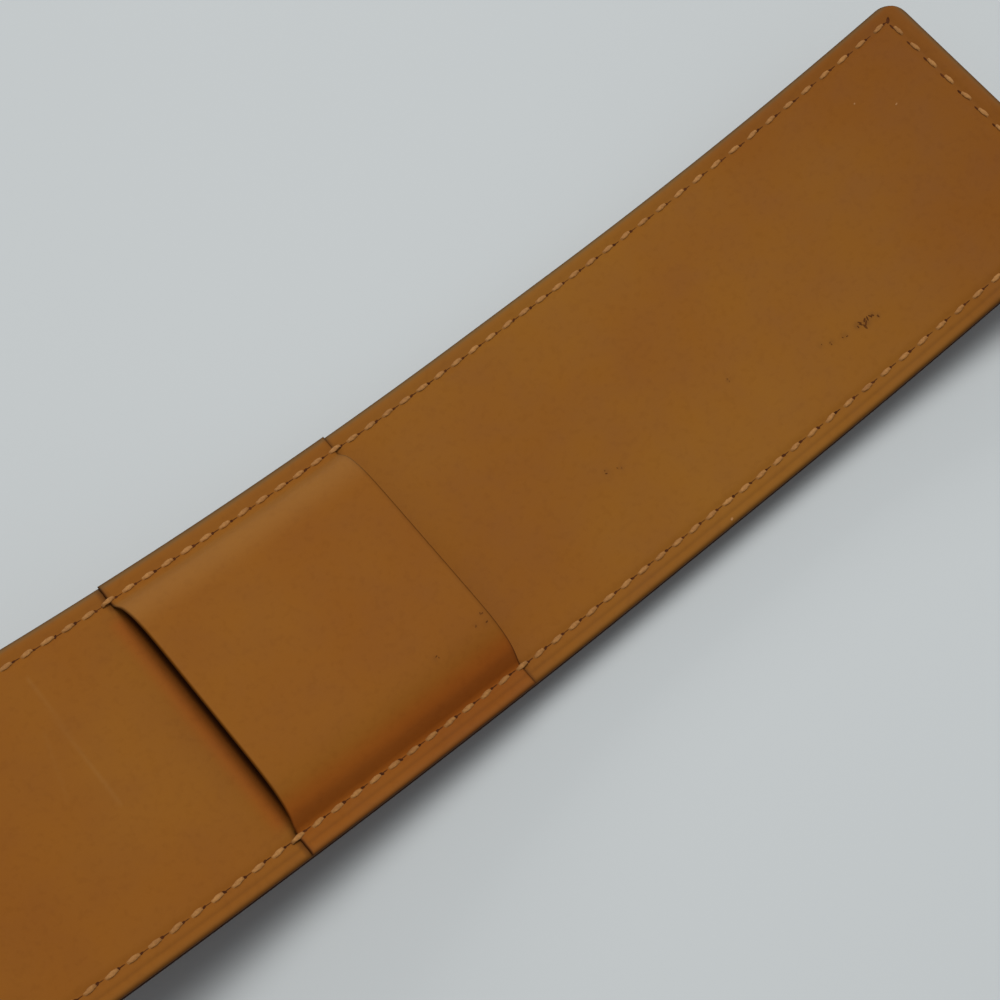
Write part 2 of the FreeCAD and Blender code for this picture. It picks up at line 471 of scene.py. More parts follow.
def leather(name, colours, smoothest, roughest, grain_strength):
    material, tree, shader = nodes_of(name)
    cloud = noise(tree, scale=38.0, detail=2.0)
    mottle = noise(tree, scale=210.0, detail=3.0)
    grain = noise(tree, scale=2600.0, detail=3.0)
    pores = noise(tree, scale=1100.0, detail=5.0)
    streaks = noise(tree, scale=160.0, detail=3.0, stretch=(0.35, 2.6, 1.0))
    colour = ramp(tree, cloud, list(zip((LOW_NOISE, MIDDLE_NOISE, HIGH_NOISE), colours)))
    colour = mix(tree, MOTTLE_SHARE, colour, ramp(tree, mottle, MOTTLE_STOPS), "MULTIPLY")
    colour = mix(tree, PORE_SHARE, colour, ramp(tree, pores, PORE_STOPS), "MULTIPLY")
    # painted light and shade along the case: lighter and less red from the band on, darker and redder where
    # the sewn end curls up
    lit_middle = along_case(tree, start=-0.040, stop=-0.005, share=0.6)
    colour = tinted(tree, lit_middle, colour, LIT_MIDDLE_TINT)
    shaded_end = along_case(tree, start=0.018, stop=0.062, share=0.85)
    colour = tinted(tree, shaded_end, colour, SHADED_END_TINT)
    # grey on the border outside the seams, stronger on the far side
    colour = mix(tree, attribute(tree, "grime"), colour, BORDER_GREY_COLOUR)
    # painted warm bounce light in the band's shaded near slope and on the front by its lip
    colour = tinted(tree, attribute(tree, "warm"), colour, WARM_TINT)
    # the shade attribute paints edge dye, and painted shade in creases and seams, under the band and at its
    # cut ends
    colour = mix(tree, attribute(tree, "shade"), colour, SHADE_COLOUR)
    # the pale attribute paints scratches on the front and a painted highlight on the band's far shoulder
    colour = mix(tree, attribute(tree, "pale"), colour, PALE_COLOUR)
    colour = mix(tree, attribute(tree, "mark"), colour, MARK_COLOUR)
    tree.links.new(colour, shader.inputs["Base Color"])
    roughen(tree, shader, mottle, smoothest, roughest)
    shader.inputs["Specular IOR Level"].default_value = 0.05
    bump(tree, shader, [(streaks, 0.06, 0.0004), (pores, 0.10, 0.0002), (grain, grain_strength, 0.0001)])
    return material


# Other materials
SOILED_STOPS = [(0.35, (0.72, 0.66, 0.6)), (0.6, WHITE)]
SOILED_SHARE = 0.8


def thread_material():
    material, tree, shader = nodes_of("linen_thread")
    fibre = noise(tree, scale=3200.0, detail=3.0)
    dirt = noise(tree, scale=120.0, detail=3.0)
    colour = noise_ramp(tree, fibre, dark=(0.29, 0.125, 0.031), light=(0.40, 0.19, 0.055))
    colour = mix(tree, SOILED_SHARE, colour, ramp(tree, dirt, SOILED_STOPS), "MULTIPLY")
    tree.links.new(colour, shader.inputs["Base Color"])
    roughen(tree, shader, fibre, smoothest=0.55, roughest=0.75)
    shader.inputs["Sheen Weight"].default_value = 0.05
    shader.inputs["Specular IOR Level"].default_value = 0.15
    bump(tree, shader, [(fibre, 0.35, 0.0002)])
    return material


def table_material():
    material, tree, shader = nodes_of("pale_table")
    cloud = noise(tree, scale=9.0, detail=2.0)
    colour = noise_ramp(tree, cloud, dark=(0.488, 0.518, 0.529), light=(0.498, 0.528, 0.539))
    tree.links.new(colour, shader.inputs["Base Color"])
    roughen(tree, shader, cloud, smoothest=0.5, roughest=0.58)
    shader.inputs["Specular IOR Level"].default_value = 0.25
    return material


def fleck_material(name, dark, light):
    material, tree, shader = nodes_of(name)
    colour = noise_ramp(tree, noise(tree, scale=900.0, detail=2.0), dark, light)
    tree.links.new(colour, shader.inputs["Base Color"])
    shader.inputs["Roughness"].default_value = 0.8
    shader.inputs["Specular IOR Level"].default_value = 0.05
    return material


TAN_COLOURS = ((0.214, 0.070, 0.0080), (0.225, 0.078, 0.0088), (0.233, 0.085, 0.0100))
LINING_COLOURS = ((0.24, 0.11, 0.035), (0.29, 0.14, 0.046), (0.33, 0.165, 0.058))
tan_leather = leather("tan_leather", TAN_COLOURS, smoothest=0.52, roughest=0.64, grain_strength=0.08)
lining_leather = leather("lining_leather", LINING_COLOURS, smoothest=0.62, roughest=0.75, grain_strength=0.16)
linen = thread_material()
hole_shade = fleck_material("hole_shade", dark=(0.042, 0.012, 0.004), light=(0.085, 0.025, 0.007))
old_ink = fleck_material("old_ink", dark=(0.060, 0.017, 0.004), light=(0.105, 0.034, 0.007))
bare_leather = fleck_material("bare_leather", dark=(0.30, 0.14, 0.05), light=(0.38, 0.19, 0.075))

# Attributes that are painted on a ply, each with its value where there is nothing
NO_MARKS = {"shade": 0.0, "pale": 0.0, "mark": 0.0, "grime": 0.0, "warm": 0.0}

# Dyed edges: strength and width of the dark line
UPPER_EDGE = (0.55, 0.30)
LOWER_EDGE = (0.9, 0.5)
BACK_EDGE = (0.96, 0.45)
FLAP_EDGE = (0.9, 0.35)


def edge_dye_and_shade(inward, line):
    """Darkness this far inward from an edge, as a line of (strength, width): edge dye, and painted shade at
    the band's cut ends.
    """
    strength, width = line
    return strength * dip(np.maximum(inward, 0.0), width)


def edge_distance(t, y, half, start=-math.inf, stop=math.inf):
    """How far inside the nearest edge of a ply each point is, leaving out an end that isn't given."""
    return np.minimum(half - np.abs(y), min(t - start, stop - t))


# Plies of the sleeve
def end_half(t, half=HALF_WIDTH, stop=LENGTH, radius=CORNER_RADIUS):
    """Half width at t of a ply whose end at stop has round corners."""
    past = np.clip(t - (stop - radius), 0.0, radius)
    return half - radius + np.sqrt(np.maximum(radius ** 2 - past ** 2, 0.0))


def whole(y):
    """Share of the thickness left where a ply is not skived."""
    return 1.0 + 0 * y


def sheet_piece(name, start, stop, half_at, middle_at, relief_at, thickness, marks,
                thin_at=whole, end_run=EDGE_RUN):
    """A bowed ply with rounded edges, thinned by thin_at and pressed in by relief_at."""
    rows = along_points(start, stop, MESH_STEP, end_run)
    across, side = ring_ways(SHEET_COLUMNS, HALF_WIDTH)
    points = []
    painted = {key: [] for key in NO_MARKS}
    for t in rows:
        y, offset = ply_ring(half_at(t), thickness, across, side)
        offset = offset * thin_at(y) * end_round(min(t - start, stop - t), end_run)
        points.append(place(t, y, middle_at(t, y) + offset - relief_at(t, y, side)))
        for key, values in marks(t, y, side).items():
            painted[key].append(np.broadcast_to(values, y.shape))
    attributes = {key: np.concatenate(values) for key, values in painted.items()}
    faces = tube_faces(len(rows), len(across))
    return make_object(name, np.concatenate(points), faces, tan_leather, attributes)


def upper_relief(t, y, side):
    return np.where(side > 0, seam_relief(t, y)[0], 0.0)


def lower_relief(t, y, side):
    return np.where(side < 0, -seam_relief(t, y)[0], 0.0)


# Greying of the border outside the seams, from the near side to the far side
NEAR_GREYING = 0.10
FAR_GREYING = 0.50
GREYING_FROM = 1.7
GREYING_RUN = 0.6


def border_greying(t, y, side):
    """How far the border outside the seams is turned grey, five times as much on the far side as on the near
    side.
    """
    outside = np.maximum(np.abs(y) - SEAM_Y, t - END_SEAM_T)
    amount = between(NEAR_GREYING, FAR_GREYING, rising(y, -HALF_WIDTH, 2 * HALF_WIDTH))
    return np.where(side > 0, amount * rising(outside, GREYING_FROM, GREYING_RUN), 0.0)


# Painted shade and painted warm bounce light on the front where the band covers it, and painted shadow of the
# band's lip just before it
COVERED_SHADE = 0.93
COVERED_INSET = 0.2
COVERED_RUN = 0.9
COVERED_OVERHANG = 0.4
COVERED_END_RUN = 1.6
LIP_SHADOW_SHADE = 0.14
LIP_SHADOW_REACH = 1.2
LIP_SHADOW_RUN = 1.4
LIP_SHADOW_INSET = 1.0
OPENING_OUTSET = 0.6
OPENING_RUN = 1.2
STEP_SHADE = 0.75
STEP_OUTSET = 0.1
LIP_STEP_WIDTH = 0.28
END_STEP_WIDTH = 0.22
END_STEP_SHARE = 0.8
LIP_WARMTH = 0.8
WARM_REACH = 2.4
WARM_RUN = 2.0
WARM_INSET = 2.0


def under_band(t, y):
    """Painted shade where the band covers the front, and painted shadow that the band's lip throws on the
    front.
    """
    off = np.abs(y)
    covered = rising(t, MOUTH_TO_BAND + COVERED_INSET, COVERED_RUN)
    covered = covered * falling(t, BAND_END + COVERED_OVERHANG, COVERED_END_RUN)
    # painted shadow of the band's lip on the front, just before the band and a little under it
    lip_shadow = rising(t, MOUTH_TO_BAND - LIP_SHADOW_REACH, LIP_SHADOW_RUN) * (t < MOUTH_TO_BAND + LIP_SHADOW_INSET)
    opening = falling(off, FOOT_Y + OPENING_OUTSET, OPENING_RUN)
    # painted shade at the steps where the band's feet begin and end on the border
    lip_step = dip(t - MOUTH_TO_BAND + STEP_OUTSET, LIP_STEP_WIDTH)
    end_step = END_STEP_SHARE * dip(t - BAND_END - STEP_OUTSET, END_STEP_WIDTH)
    inside = np.maximum(COVERED_SHADE * covered, LIP_SHADOW_SHADE * lip_shadow) * opening
    return np.maximum(inside, STEP_SHADE * np.maximum(lip_step, end_step) * (1 - opening))


def lip_warmth(t, y):
    """How reddened the front is by light thrown back from under the band's lip."""
    opening = falling(np.abs(y), FOOT_Y, WARM_RUN)
    along = rising(t, MOUTH_TO_BAND - WARM_REACH, WARM_RUN) * (t < BAND_END - WARM_INSET)
    return LIP_WARMTH * opening * along


# Front and back
CREASE_SHADE = 0.16
TRENCH_SHADE = 0.04
BACK_TRENCH_SHADE = 0.12


def front_middle(t, y):
    return PLY / 2 + 0 * y


def front_marks(t, y, side):
    upper = side > 0
    _, crease, trench = seam_relief(t, y)
    inward = edge_distance(t, y, end_half(t), 0.0, LENGTH)
    shade = np.maximum(CREASE_SHADE * crease + TRENCH_SHADE * trench, edge_dye_and_shade(inward, UPPER_EDGE))
    shade = np.maximum(shade, under_band(t, y))
    return {
        "shade": np.where(upper, shade, edge_dye_and_shade(inward, LOWER_EDGE)),
        "pale": np.where(upper, scratch_lines(t, y), 0.0),
        "mark": np.where(upper, INK_STRENGTH * spots(t, y, INK_DOTS), 0.0),
        "grime": border_greying(t, y, side),
        "warm": np.where(upper, lip_warmth(t, y), 0.0),
    }


def back_middle(t, y):
    """Height of the back's middle, with the pocket pressed into it."""
    depth = POCKET_DEPTH + (MOUTH_DEPTH - POCKET_DEPTH) * np.maximum(0.0, 1 - t / MOUTH_FLARE)
    depth = depth * falling(t, POCKET_END, POCKET_END_RUN)
    wall_run = POCKET_HALF - FLOOR_HALF + WALL_EXTRA_RUN
    return -PLY / 2 - depth * falling(np.abs(y), POCKET_HALF + WALL_OUTSET, wall_run)


def back_marks(t, y, side):
    _, crease, trench = seam_relief(t, y)
    pressed = np.where(side < 0, CREASE_SHADE * crease + BACK_TRENCH_SHADE * trench, 0.0)
    edge = edge_dye_and_shade(edge_distance(t, y, end_half(t), stop=LENGTH), BACK_EDGE)
    return {**NO_MARKS, "shade": np.maximum(pressed, edge)}


front = sheet_piece("front_leather", 0.0, LENGTH, end_half, front_middle, upper_relief, PLY, front_marks)
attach(front, "pouch")
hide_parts("front_panel")

back = sheet_piece("back_leather", 0.0, LENGTH, end_half, back_middle, lower_relief, PLY, back_marks)
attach(back, "pouch")
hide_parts("back_panel")

# Keeper band: painted shade of its underside, and (strength, width) of the dark line of painted shade at each
# cut end
BAND_UNDER_SHADE = 0.3
LIP_LINE = (0.5, 0.10)
LIP_LINE_AT_FOOT = (0.9, 0.24)
END_LINE = (0.85, 0.22)
UNDER_LINE = (0.97, 0.34)
FOOT_RUN = 0.8

# Keeper band: the painted highlight on its far shoulder and the painted warm bounce light in its shaded near
# slope, by their ways across
SHOULDER_HIGHLIGHT = 0.10
SHOULDER_FROM = 10.5
SHOULDER_RUN = 4.0
SHOULDER_TO = 17.3
SHOULDER_END_RUN = 0.8
SLOPE_FROM = 12.5
SLOPE_RUN = 3.0
SLOPE_TO = 16.8
SLOPE_END_RUN = 0.8
SLOPE_LOSS = 0.6


def band_half(t):
    return HALF_WIDTH


def band_thin(y):
    """Share of the band's thickness left after its feet are skived."""
    return 1 - (1 - BAND_SKIVED / BAND_PLY) * rising(np.abs(y), FOOT_Y - SKIVE_REACH, SKIVE_RUN)


def band_middle(t, y):
    """Height of the band's middle: an arch that is flat on top and steep at its feet."""
    rise = BAND_RISE * (1 - (np.abs(y) / ARCH_HALF) ** ARCH_POWER)
    rise = (rise + np.hypot(rise, ARCH_SOFTNESS)) / 2
    return PLY + BAND_PLY / 2 * band_thin(y) + rise


def band_end_line(t, y):
    """Painted shade on the upper face beside the band's cut ends; at the lip it is darker and wider at the
    feet, where the band steps onto the front.
    """
    if t > BAND_MIDDLE:
        return edge_dye_and_shade(BAND_END - t, END_LINE)
    foot = rising(np.abs(y), ARCH_HALF - FOOT_RUN, FOOT_RUN)
    line = [between(at_top, at_foot, foot) for at_top, at_foot in zip(LIP_LINE, LIP_LINE_AT_FOOT)]
    return edge_dye_and_shade(t - MOUTH_TO_BAND, line)


def band_marks(t, y, side):
    upper = side > 0
    _, crease, trench = seam_relief(t, y)
    shade = np.where(upper, CREASE_SHADE * crease + TRENCH_SHADE * trench, BAND_UNDER_SHADE)
    shade = np.maximum(shade, edge_dye_and_shade(edge_distance(t, y, HALF_WIDTH), UPPER_EDGE))
    # painted shade on the band's underside beside its cut ends
    under_line = edge_dye_and_shade(min(t - MOUTH_TO_BAND, BAND_END - t), UNDER_LINE)
    # painted highlight on the far shoulder and painted warm bounce light in the shaded near slope
    shoulder = rising(y, SHOULDER_FROM, SHOULDER_RUN) * falling(y, SHOULDER_TO, SHOULDER_END_RUN)
    warm = rising(-y, SLOPE_FROM, SLOPE_RUN) * (1 - SLOPE_LOSS * rising(-y, SLOPE_TO, SLOPE_END_RUN))
    return {
        "shade": np.maximum(shade, np.where(upper, band_end_line(t, y), under_line)),
        "pale": np.where(upper, SHOULDER_HIGHLIGHT * shoulder, 0.0),
        "mark": np.where(upper, BAND_INK_STRENGTH * spots(t, y, BAND_DOTS), 0.0),
        "grime": border_greying(t, y, side),
        "warm": warm,
    }


band = sheet_piece("keeper_band_leather", MOUTH_TO_BAND, BAND_END, band_half, band_middle, upper_relief,
                   BAND_PLY, band_marks, band_thin, BAND_END_RUN)
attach(band, "pouch")
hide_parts("keeper_band")

# One stitch: its size, how its ends go down and grow thin, and how its two strands are twisted
STITCH_HALF = 0.96
STITCH_THICK = 0.27
STITCH_FLATNESS = 0.5
STITCH_ROWS = 15
STITCH_RING = 12
STITCH_ARCH = 0.10
END_DROP = 0.36
DROP_POWER = 5
END_TAPER = 0.42
TAPER_POWER = 4
STRAND_DEPTH = 0.13
STRAND_TWIST = 5.5

# Sewing by hand: how much the slant and the length of the stitches differ
SLANT_SPREAD = 0.045
LENGTH_SPREAD = 0.03
ON_BAND_MARGIN = 0.1
ACROSS = np.array([0.0, 1.0, 0.0])


def stitch_shape():
    """One twisted stitch along X, arched so that its ends go down into the needle holes."""
    turn = np.linspace(0, 2 * math.pi, STITCH_RING, endpoint=False)
    points = []
    for share in np.linspace(-1.0, 1.0, STITCH_ROWS):
        height = STITCH_ARCH - END_DROP * abs(share) ** DROP_POWER
        thick = STITCH_THICK * (1 - END_TAPER * abs(share) ** TAPER_POWER)
        reach = thick * (1 + STRAND_DEPTH * np.cos(2 * turn - STRAND_TWIST * share))
        ring = np.stack([0 * turn, reach * np.cos(turn), STITCH_FLATNESS * reach * np.sin(turn)], -1)
        points.append(np.array([share * STITCH_HALF, 0.0, height]) + ring)
    return np.concatenate(points), tube_faces(STITCH_ROWS, STITCH_RING)


STITCH_POINTS, STITCH_FACES = stitch_shape()


def stitches(name, frames, body, node):
    """Stitches at frames of (origin, along, across, out), all in one piece."""
    shapes = []
    for origin, along, across, out in frames:
        turn = STITCH_SLANT + chance.normal(0.0, SLANT_SPREAD)
        length = 1 + chance.normal(0.0, LENGTH_SPREAD)
        forward = along * math.cos(turn) + across * math.sin(turn)
        aside = across * math.cos(turn) - along * math.sin(turn)
        axes = np.stack([forward * length, aside, out])
        shapes.append((origin + STITCH_POINTS @ axes, STITCH_FACES))
    obj = make_object(name, *joined(shapes), linen)
    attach(obj, body)
    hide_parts(node)


def stitch_frame(origin, angle, face, crosswise):
    """Frame of a stitch on leather that climbs at this angle, on its upper face (1) or its lower one (-1)."""
    along = np.array([math.cos(angle), 0.0, math.sin(angle)])
    out = np.array([-math.sin(angle), 0.0, math.cos(angle)]) * face
    across = ACROSS * face
    if crosswise:
        along, across = ACROSS, -along * face
    return origin, along, across, out


def sleeve_frame(t, y, w, face, crosswise=False):
    return stitch_frame(place(t, y, w), float(slope(t)), face, crosswise)


def on_band(t):
    return MOUTH_TO_BAND - ON_BAND_MARGIN <= t <= BAND_END + ON_BAND_MARGIN


def side_seam(y):
    frames = []
    for t in SIDE_STITCHES:
        top = PLY - TRENCH_DEPTH + (BAND_SKIVED if on_band(t) else 0.0)
        frames.append(sleeve_frame(t, y, top, 1))
        frames.append(sleeve_frame(t, y, -PLY + TRENCH_DEPTH, -1))
    return frames


stitches("far_seam_stitches", side_seam(FAR_SEAM_Y), "pouch", "far_seam_thread")
stitches("near_seam_stitches", side_seam(-SEAM_Y), "pouch", "near_seam_thread")
end_frames = [sleeve_frame(END_SEAM_T, y, PLY - TRENCH_DEPTH, 1, True) for y in END_STITCHES]
end_frames += [sleeve_frame(END_SEAM_T, y, -PLY + TRENCH_DEPTH, -1, True) for y in END_STITCHES]
stitches("end_seam_stitches", end_frames, "pouch", "end_seam_thread")

# Flecks, as thin ovals on the upper face: needle slits, painted shade in the needle holes and between
# stitches, then specks of ink and pale specks
FLECK_POINTS = 10
FLECK_LIFT = 0.03

# Needle slits: (least, most) length along the sleeve and width across it, and how their places differ
HOLE_LENGTH = (0.4, 0.7)
HOLE_WIDTH = (0.26, 0.38)
SLIT_LENGTH = (0.8, 1.1)
SLIT_WIDTH = (0.08, 0.13)
END_HOLE_LENGTH = (0.2, 0.3)
END_HOLE_WIDTH = (0.6, 0.9)
CORNER_LENGTH = 0.9
CORNER_WIDTH = 0.45
HOLE_INSET = 0.05
END_HOLE_INSET = 0.25
SLIT_AHEAD = 0.45
ALONG_SPREAD = 0.04
ASIDE_SPREAD = 0.03
TURN_SPREAD = 0.3

# Specks of ink: how many a dot of full strength has, how far they scatter, and their (least, most) sizes
SPECKS_AT_MOST = 4
ALONG_SCATTER = 0.5
ASIDE_SCATTER = 0.4
SPECK_SHARE = 0.75
SPECK_LENGTH = (1.2, 2.6)
SPECK_WIDTH = (0.5, 0.9)


def top_surface(t, y):
    """Height of the upper face of the front, or of the band where it lies over the front."""
    height = band_middle(t, y) + BAND_PLY / 2 * band_thin(y) if on_band(t) else PLY
    return height - seam_relief(t, y)[0]


def fleck(t, y, length, width, turn):
    """An oval lying on the upper face, as a fan of points round its middle."""
    round_it = np.linspace(0, 2 * math.pi, FLECK_POINTS, endpoint=False)
    along = length / 2 * np.cos(round_it)
    aside = width / 2 * np.sin(round_it)
    ways = np.concatenate([[t], t + along * math.cos(turn) - aside * math.sin(turn)])
    sides = np.concatenate([[y], y + along * math.sin(turn) + aside * math.cos(turn)])
    heights = np.array([top_surface(way, side) for way, side in zip(ways, sides)]) + FLECK_LIFT
    faces = [(0, 1 + k, 1 + (k + 1) % FLECK_POINTS) for k in range(FLECK_POINTS)]
    return place(ways, sides, heights), faces


def flecks(name, shapes, material):
    obj = make_object(name, *joined(shapes), material)
    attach(obj, "pouch")


def seam_slits():
    """Painted shade for a hole and a slit ahead of each stitch, and for a hole at each sewn corner."""
    found = []
    for t in SIDE_STITCHES:
        for seam in (-SEAM_Y, FAR_SEAM_Y):
            along = t + STITCH_HALF + chance.normal(0.0, ALONG_SPREAD)
            aside = seam - HOLE_INSET * np.sign(seam) + chance.normal(0.0, ASIDE_SPREAD)
            length = chance.uniform(*HOLE_LENGTH)
            width = chance.uniform(*HOLE_WIDTH)
            found.append(fleck(along, aside, length, width, chance.normal(0.0, TURN_SPREAD)))
            length = chance.uniform(*SLIT_LENGTH)
            width = chance.uniform(*SLIT_WIDTH)
            found.append(fleck(along + SLIT_AHEAD, aside, length, width, 0.0))
    for y in END_STITCHES:
        length = chance.uniform(*END_HOLE_LENGTH)
        width = chance.uniform(*END_HOLE_WIDTH)
        found.append(fleck(END_SEAM_T - END_HOLE_INSET, y + STITCH_HALF, length, width, 0.0))
    for seam in (-SEAM_Y, FAR_SEAM_Y):
        turn = math.copysign(math.pi / 4, seam)
        found.append(fleck(END_SEAM_T, seam, CORNER_LENGTH, CORNER_WIDTH, turn))
    return found


def ink_specks():
    """A few specks scattered about each dot of ink, more where it is stronger."""
    found = []
    for t, y, radius, strength in INK_DOTS + BAND_DOTS:
        size = SPECK_SHARE * radius * strength
        for _ in range(max(1, round(SPECKS_AT_MOST * strength))):
            along = t + chance.normal(0, ALONG_SCATTER * radius)
            aside = y + chance.normal(0, ASIDE_SCATTER * radius)
            length = size * chance.uniform(*SPECK_LENGTH)
            width = size * chance.uniform(*SPECK_WIDTH)
            found.append(fleck(along, aside, length, width, chance.uniform(0, math.pi)))
    return found


pale_specks = [fleck(t, y, length, width, PALE_TURN) for t, y, length, width in PALE_SPECKS]
flecks("needle_slits", seam_slits(), hole_shade)
flecks("ink_specks", ink_specks(), old_ink)
flecks("pale_specks", pale_specks, bare_leather)

# Flap, bent as it lies open: a path in the X-Z plane through the three folds
JOINTS = frame["record"]["behaviour"]["joints"]
FOLDS = {joint["name"]: np.array(joint["pos_m"]) / MM for joint in JOINTS}
LIMITS = {joint["name"]: joint["range_deg"] for joint in JOINTS}
FLAP_MIDDLE = PLY + FLAP_GAP + LINING_PLY + PLY / 2
MOUTH_LAP = 0.6
BEND_RADIUS = 1.5
BEND_POINTS = 14
BLEND_REACH = 2.2


def flat(point):
    return np.array([point[0], point[2]])


def heading(first, second):
    return math.atan2(second[1] - first[1], second[0] - first[0])


def pointing(angle):
    return np.array([math.cos(angle), math.sin(angle)])


def tongue_tip():
    """The end of the tongue, which is as long as the flap and turned up by its joint's whole range."""
    flap_fold = flat(FOLDS["flap_tuck"])
    tongue_fold = flat(FOLDS["tongue_flatten"])
    link = np.linalg.norm(tongue_fold - flap_fold)
    bow = 2 * math.asin(link / 2 / (BOW_RADIUS - FLAP_MIDDLE))
    turn = heading(flap_fold, tongue_fold) + bow + math.radians(LIMITS["tongue_flatten"][0])
    return tongue_fold + link * pointing(turn)


def bent_path(corners, radii, step):
    """Points, headings and distances along straight runs joined by arcs of these radii."""
    points, headings = [], []
    start = corners[0]
    for i, radius in enumerate(list(radii) + [None]):
        turn_in = heading(corners[i], corners[i + 1])
        if radius is None:
            stop = corners[i + 1]
        else:
            turn = heading(corners[i + 1], corners[i + 2]) - turn_in
            turn = (turn + math.pi) % (2 * math.pi) - math.pi
            stop = corners[i + 1] - pointing(turn_in) * radius * math.tan(abs(turn) / 2)
        count = max(2, round(np.linalg.norm(stop - start) / step))
        points += [start + (stop - start) * share for share in np.linspace(0, 1, count)]
        headings += [turn_in] * count
        if radius is not None:
            side = math.copysign(1.0, turn)
            centre = stop + pointing(turn_in + side * math.pi / 2) * radius
            for share in np.linspace(0, 1, BEND_POINTS)[1:-1]:
                angle = turn_in + turn * share
                points.append(centre - pointing(angle + side * math.pi / 2) * radius)
                headings.append(angle)
            start = centre - pointing(turn_in + turn + side * math.pi / 2) * radius
    points = np.array(points)
    steps = np.linalg.norm(np.diff(points, axis=0), axis=1)
    return points, np.array(headings), np.concatenate([[0.0], np.cumsum(steps)])


FOLD_POINTS = [flat(FOLDS[name]) for name in ("spine_fold", "flap_tuck", "tongue_flatten")]
PATH, HEADINGS, DISTANCES = bent_path(FOLD_POINTS + [tongue_tip()], (BEND_RADIUS, BEND_RADIUS), MESH_STEP)
HEADINGS = np.unwrap(HEADINGS)


def way_to(point):
    """Distance along the path of the place nearest to this point."""
    return DISTANCES[np.argmin(np.linalg.norm(PATH - point, axis=1))]


AT_FLAP, AT_TONGUE = (way_to(point) for point in FOLD_POINTS[1:])
AT_TIP = DISTANCES[-1]
SPINE_CUT = AT_FLAP / 2
FLAP_CUT = (AT_FLAP + AT_TONGUE) / 2


def on_path(distance, y, w):
    """Points at this distance along the flap, y across it and w out from its middle."""
    x, z = (np.interp(distance, DISTANCES, PATH[:, k]) for k in (0, 1))
    turn = np.interp(distance, DISTANCES, HEADINGS)
    return np.stack(np.broadcast_arrays(x - w * np.sin(turn), y, z + w * np.cos(turn)), -1)


LIP_START = flat(place(MOUTH_LAP, 0.0, -MOUTH_DEPTH - PLY / 2))
LIP_LENGTH = np.linalg.norm(LIP_START - FOLD_POINTS[0])
LIP_HEADING = heading(LIP_START, FOLD_POINTS[0])


def in_lip(distance, y, w):
    """Points on the straight lip of the back, measured on from the spine's fold."""
    x = FOLD_POINTS[0][0] + distance * math.cos(LIP_HEADING) - w * math.sin(LIP_HEADING)
    z = FOLD_POINTS[0][1] + distance * math.sin(LIP_HEADING) + w * math.cos(LIP_HEADING)
    return np.stack(np.broadcast_arrays(x, y, z), -1)


# Rows of the flap's pieces, each of its points and its shade
FLAP_ACROSS, FLAP_SIDE = ring_ways(FLAP_COLUMNS, FLOOR_HALF)
SEAM_RUN_OUT = 1.0
KNUCKLE_GAP = 0.02
KNUCKLE_ROWS = 8
KNUCKLE_FROM = 0.02
KNUCKLE_SHARES = np.sin(np.linspace(KNUCKLE_FROM, math.pi / 2, KNUCKLE_ROWS))
SPINE_START = 2 * KNUCKLE_GAP + PLY / 2
LIP_ROWS = 6
LEAST_ROW_GAP = 0.05
TIP_RUN = 4 * EDGE_RUN
TIP_STEP = 0.3


def flap_relief(distance, y):
    """How far the flap's seam presses the leather in, away from the folds."""
    seam = dip(np.abs(y) - (FLOOR_HALF - FLAP_SEAM_MARGIN), TRENCH_WIDTH)
    from_fold = min(abs(distance - AT_FLAP), abs(distance - AT_TONGUE))
    clear = from_fold > FOLD_SEAM_MARGIN - SEAM_RUN_OUT
    sewn = clear and AT_FLAP < distance < AT_TIP - TONGUE_CORNER + SEAM_RUN_OUT
    return TRENCH_DEPTH * seam * sewn


def flap_ring(distance, thickness, middle, outer_side):
    """One row of a flap piece, with the seam pressed into its outer side."""
    half = float(end_half(distance, FLOOR_HALF, AT_TIP, TONGUE_CORNER))
    y, offset = ply_ring(half, thickness, FLAP_ACROSS, FLAP_SIDE)
    offset = offset * end_round(AT_TIP - distance, EDGE_RUN)
    pressed = np.where(FLAP_SIDE == outer_side, outer_side * flap_relief(distance, y), 0.0)
    shade = edge_dye_and_shade(edge_distance(distance, y, half, stop=AT_TIP), FLAP_EDGE)
    return on_path(distance, y, middle + offset - pressed), shade


def strip_rows(start, stop):
    """Distances of the rows between start and stop, closer at the rounded tip."""
    inside = [d for d in DISTANCES if start + LEAST_ROW_GAP < d < stop - LEAST_ROW_GAP]
    rows = np.array([start] + inside + [stop])
    if stop == AT_TIP:
        ending = along_points(AT_TIP - TIP_RUN, AT_TIP, TIP_STEP, EDGE_RUN)
        rows = np.concatenate([rows[rows < ending[0]], ending])
    return rows


def strip_rings(start, stop, thickness=PLY, middle=0.0, outer_side=1):
    return [flap_ring(distance, thickness, middle, outer_side) for distance in strip_rows(start, stop)]


PLY_Y, PLY_OFFSET = ply_ring(FLOOR_HALF, PLY, FLAP_ACROSS, FLAP_SIDE)
PLY_SHADE = edge_dye_and_shade(FLOOR_HALF - np.abs(PLY_Y), FLAP_EDGE)


def knuckle_rings(follow, hollow):
    """Rows of a half round end about the spine's fold, standing out from it or hollowed to fit it."""
    reach = np.abs(PLY_OFFSET) + (KNUCKLE_GAP if hollow else 0.0)
    shares = KNUCKLE_SHARES if hollow else KNUCKLE_SHARES[::-1]
    rings = []
    for share in shares:
        height = share * PLY_OFFSET
        rings.append((follow(np.sqrt(reach ** 2 - height ** 2), PLY_Y, height), PLY_SHADE))
    return rings


